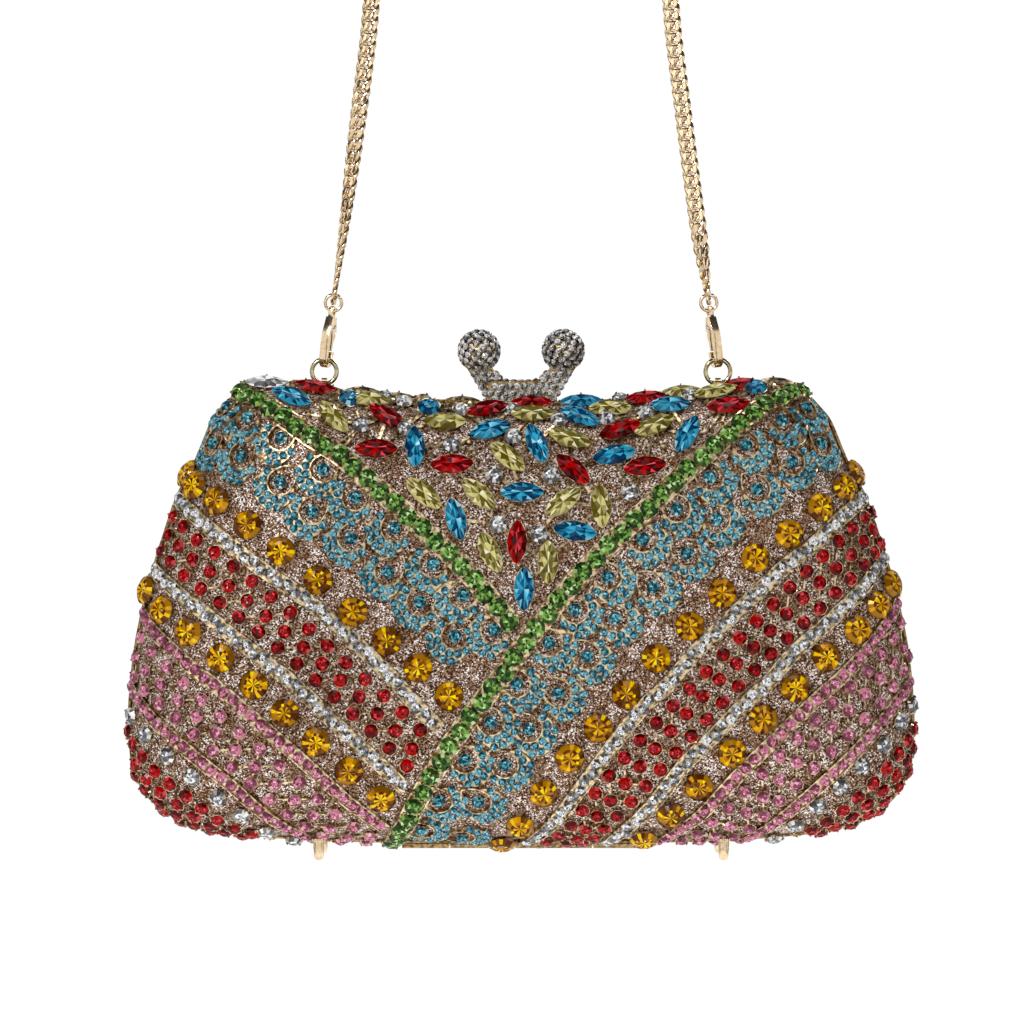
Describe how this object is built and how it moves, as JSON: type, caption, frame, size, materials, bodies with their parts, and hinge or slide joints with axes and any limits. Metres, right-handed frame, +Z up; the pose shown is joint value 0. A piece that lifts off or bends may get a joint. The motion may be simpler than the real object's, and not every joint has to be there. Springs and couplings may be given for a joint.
{
  "type": "evening clutch bag",
  "caption": "Hard-shell evening clutch with a kiss lock and a stone-set casting over glitter fabric, hanging from a taut curb chain strap.",
  "frame": {"origin": "the top of the chain strap's arch, the point that the clutch hangs by", "axes": "+Z up, front of the case (the stone-set face in the picture) towards -Y, the case's width along X; the seam between the halves is the plane Y = 0"},
  "size_m": [0.1998, 0.0602, 0.2577],
  "materials": {
    "champagne_gold": "polished pale gold plate",
    "pale_gold": "polished pale gold plate",
    "stone_bands": "gold-plated casting set with faceted glass stones",
    "glitter_fabric": "glitter fabric over a moulded shell",
    "satin_lining": "satin",
    "pin_steel": "plain",
    "crystal_lock": "gold-plated, paved with clear glass stones"
  },
  "bodies": {
    "strap": {"ring_left": "pale_gold", "ring_right": "pale_gold", "clasp_left": "pale_gold", "clasp_right": "pale_gold", "clasp_pin_left": "pin_steel", "clasp_pin_right": "pin_steel", "jump_ring_left": "pale_gold", "jump_ring_right": "pale_gold", "chain_right": "pale_gold", "chain_top": "pale_gold", "chain_left": "pale_gold"},
    "rear_half": {"rear_shell": "glitter_fabric", "rear_casting": "stone_bands", "rear_frame": "champagne_gold", "rear_lining": "satin_lining", "rear_lock": "crystal_lock", "rear_foot_left": "champagne_gold", "rear_foot_right": "champagne_gold", "rear_hinge_leaf": "champagne_gold", "hinge_pin": "pin_steel", "lug_left": "champagne_gold", "lug_right": "champagne_gold"},
    "front_half": {"front_shell": "glitter_fabric", "front_casting": "stone_bands", "front_frame": "champagne_gold", "front_lining": "satin_lining", "front_lock": "crystal_lock", "front_foot_left": "champagne_gold", "front_foot_right": "champagne_gold", "front_hinge_leaf": "champagne_gold"},
    "clasp_gate_left": {"clasp_lever_left": "pale_gold"},
    "clasp_gate_right": {"clasp_lever_right": "pale_gold"}
  },
  "joints": [
    {"name": "bag_swing", "type": "hinge", "parent": "strap", "child": "rear_half", "pos_m": [0, 0, -0.13636], "axis": [1, 0, 0], "range_deg": [-60, 60]},
    {"name": "case_open", "type": "hinge", "parent": "rear_half", "child": "front_half", "pos_m": [0, 0, -0.25221], "axis": [1, 0, 0], "range_deg": [0, 70]},
    {"name": "clasp_gate_left_swing", "type": "hinge", "parent": "strap", "child": "clasp_gate_left", "pos_m": [-0.04761, 0.00128, -0.12183], "axis": [-0.9314, 0.342, 0.1243], "range_deg": [0, 20], "stiffness_Nm_per_rad": 0.002, "springref_deg": -20.05},
    {"name": "clasp_gate_right_swing", "type": "hinge", "parent": "strap", "child": "clasp_gate_right", "pos_m": [0.04761, 0.00128, -0.12183], "axis": [-0.9314, -0.342, -0.1243], "range_deg": [0, 20], "stiffness_Nm_per_rad": 0.002, "springref_deg": -20.05}
  ]
}
